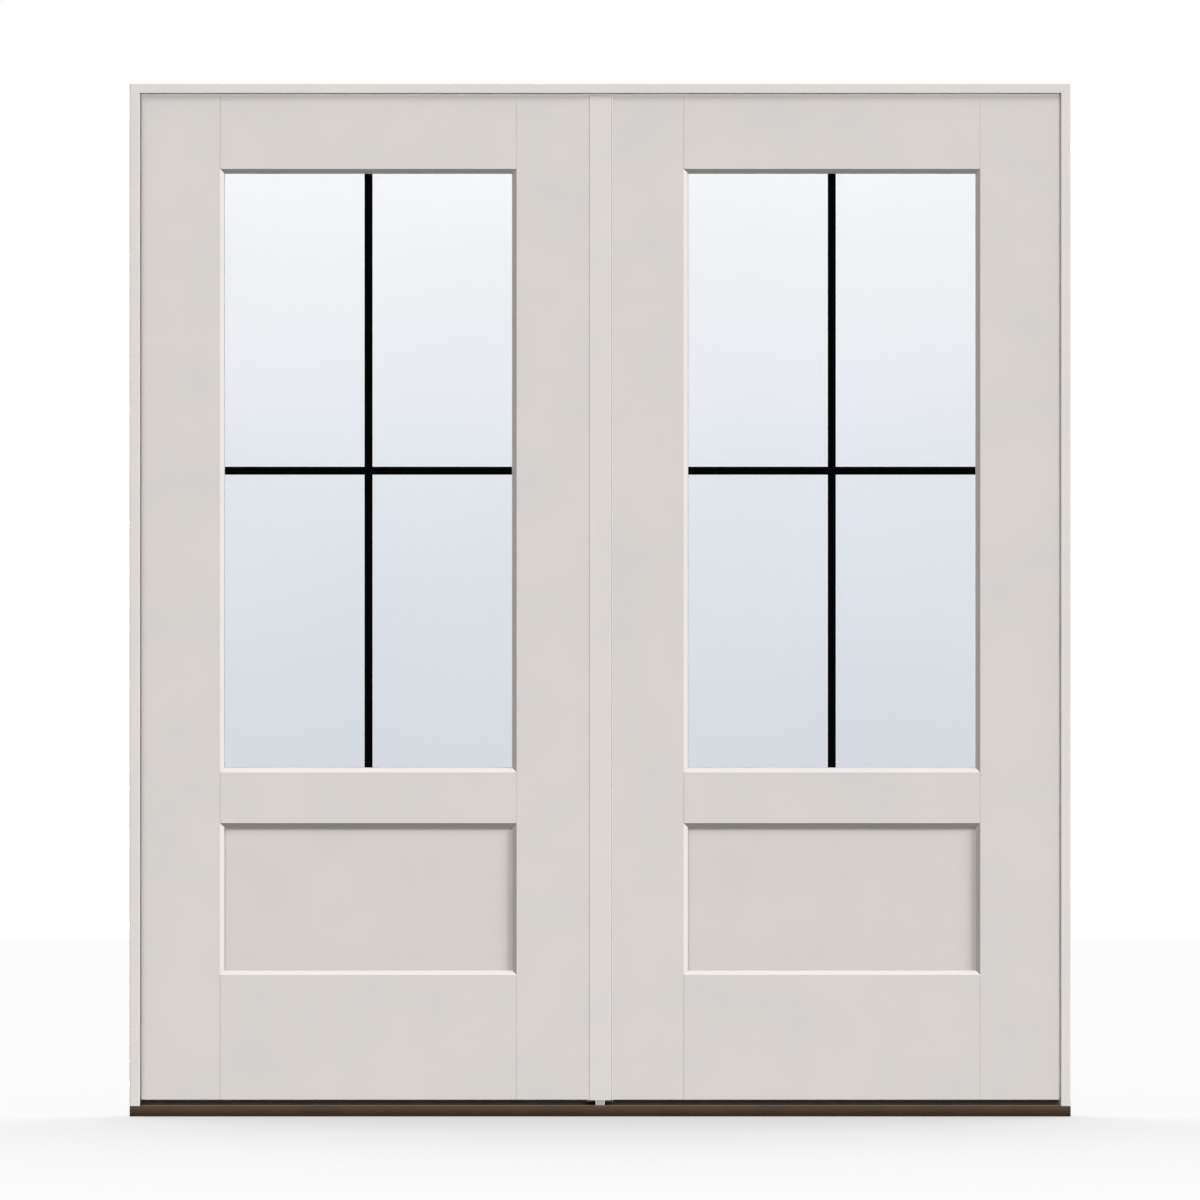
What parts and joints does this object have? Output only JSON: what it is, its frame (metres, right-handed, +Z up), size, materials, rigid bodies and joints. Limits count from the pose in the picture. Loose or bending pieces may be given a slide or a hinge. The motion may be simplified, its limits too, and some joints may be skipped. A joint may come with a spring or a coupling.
{
  "type": "french doors",
  "caption": "Pair of inward-opening glazed doors with panelled foot and dark glazing grille, hinged in a rebated timber frame on a bronze sill.",
  "frame": {"origin": "middle of the sill's underside, halfway through the frame's depth", "axes": "+Z up, +X along the width, -Y the outside face, +Y the inside that the leaves open to"},
  "size_m": [1.882, 0.0819, 2.066],
  "materials": {
    "frame_paint": "satin paint on timber, warm light grey",
    "leaf_paint": "satin paint on timber, warm light grey",
    "post_paint": "satin paint on timber, warm light grey",
    "bronze_sill": "dark bronze anodised, drawn along the length",
    "composite": "wood-filled composite, sawn",
    "riser": "dark bronze vinyl",
    "strike_block": "moulded light grey",
    "weatherstrip": "foam bulb in a light grey skin",
    "seal_rubber": "grey rubber",
    "sweep_rubber": "black rubber",
    "tape": "light grey glazing tape",
    "spacer": "mill finish",
    "grille": "black powder coat",
    "steel": "satin nickel plate",
    "glass": "clear float glass, sealed double unit"
  },
  "bodies": {
    "frame": {"left_jamb": "frame_paint", "right_jamb": "frame_paint", "head_jamb": "frame_paint", "sill_deck": "bronze_sill", "sill_core": "composite", "threshold_riser": "riser", "sill_strike": "strike_block", "head_strike": "strike_block", "left_weatherstrip": "weatherstrip", "right_weatherstrip": "weatherstrip", "head_weatherstrip": "weatherstrip", "hinge_pins": "steel", "jamb_hinge_screws": "steel", "passive_top_hinge_jamb_plate": "steel", "passive_middle_hinge_jamb_plate": "steel", "passive_bottom_hinge_jamb_plate": "steel", "active_top_hinge_jamb_plate": "steel", "active_middle_hinge_jamb_plate": "steel", "active_bottom_hinge_jamb_plate": "steel"},
    "passive_leaf": {"passive_top_hinge_door_plate": "steel", "passive_middle_hinge_door_plate": "steel", "passive_bottom_hinge_door_plate": "steel", "passive_hinge_stile": "leaf_paint", "passive_meeting_stile": "leaf_paint", "passive_top_rail": "leaf_paint", "passive_lock_rail": "leaf_paint", "passive_bottom_rail": "leaf_paint", "passive_panel": "leaf_paint", "passive_outer_pane": "glass", "passive_inner_pane": "glass", "passive_spacer": "spacer", "passive_grille_upright": "grille", "passive_grille_crossbar": "grille", "passive_glazing_beads": "leaf_paint", "passive_glazing_tape": "tape", "passive_sweep": "sweep_rubber", "passive_hinge_screws": "steel", "astragal_post": "post_paint", "astragal_seal": "seal_rubber", "astragal_screws": "steel"},
    "active_leaf": {"active_top_hinge_door_plate": "steel", "active_middle_hinge_door_plate": "steel", "active_bottom_hinge_door_plate": "steel", "active_hinge_stile": "leaf_paint", "active_meeting_stile": "leaf_paint", "active_top_rail": "leaf_paint", "active_lock_rail": "leaf_paint", "active_bottom_rail": "leaf_paint", "active_panel": "leaf_paint", "active_outer_pane": "glass", "active_inner_pane": "glass", "active_spacer": "spacer", "active_grille_upright": "grille", "active_grille_crossbar": "grille", "active_glazing_beads": "leaf_paint", "active_glazing_tape": "tape", "active_sweep": "sweep_rubber", "active_hinge_screws": "steel"},
    "top_bolt": {"top_bolt": "steel"},
    "bottom_bolt": {"bottom_bolt": "steel"}
  },
  "joints": [
    {"name": "passive_leaf_swing", "type": "hinge", "parent": "frame", "child": "passive_leaf", "pos_m": [-0.9275, 0.04, 1], "axis": [0, 0, 1], "range_deg": [0, 170]},
    {"name": "active_leaf_swing", "type": "hinge", "parent": "frame", "child": "active_leaf", "pos_m": [0.9275, 0.04, 1], "axis": [0, 0, -1], "range_deg": [0, 170]},
    {"name": "top_bolt_throw", "type": "slide", "parent": "passive_leaf", "child": "top_bolt", "axis": [0, 0, 1], "range_m": [0, 0.012]},
    {"name": "bottom_bolt_throw", "type": "slide", "parent": "passive_leaf", "child": "bottom_bolt", "axis": [0, 0, -1], "range_m": [0, 0.012]}
  ]
}
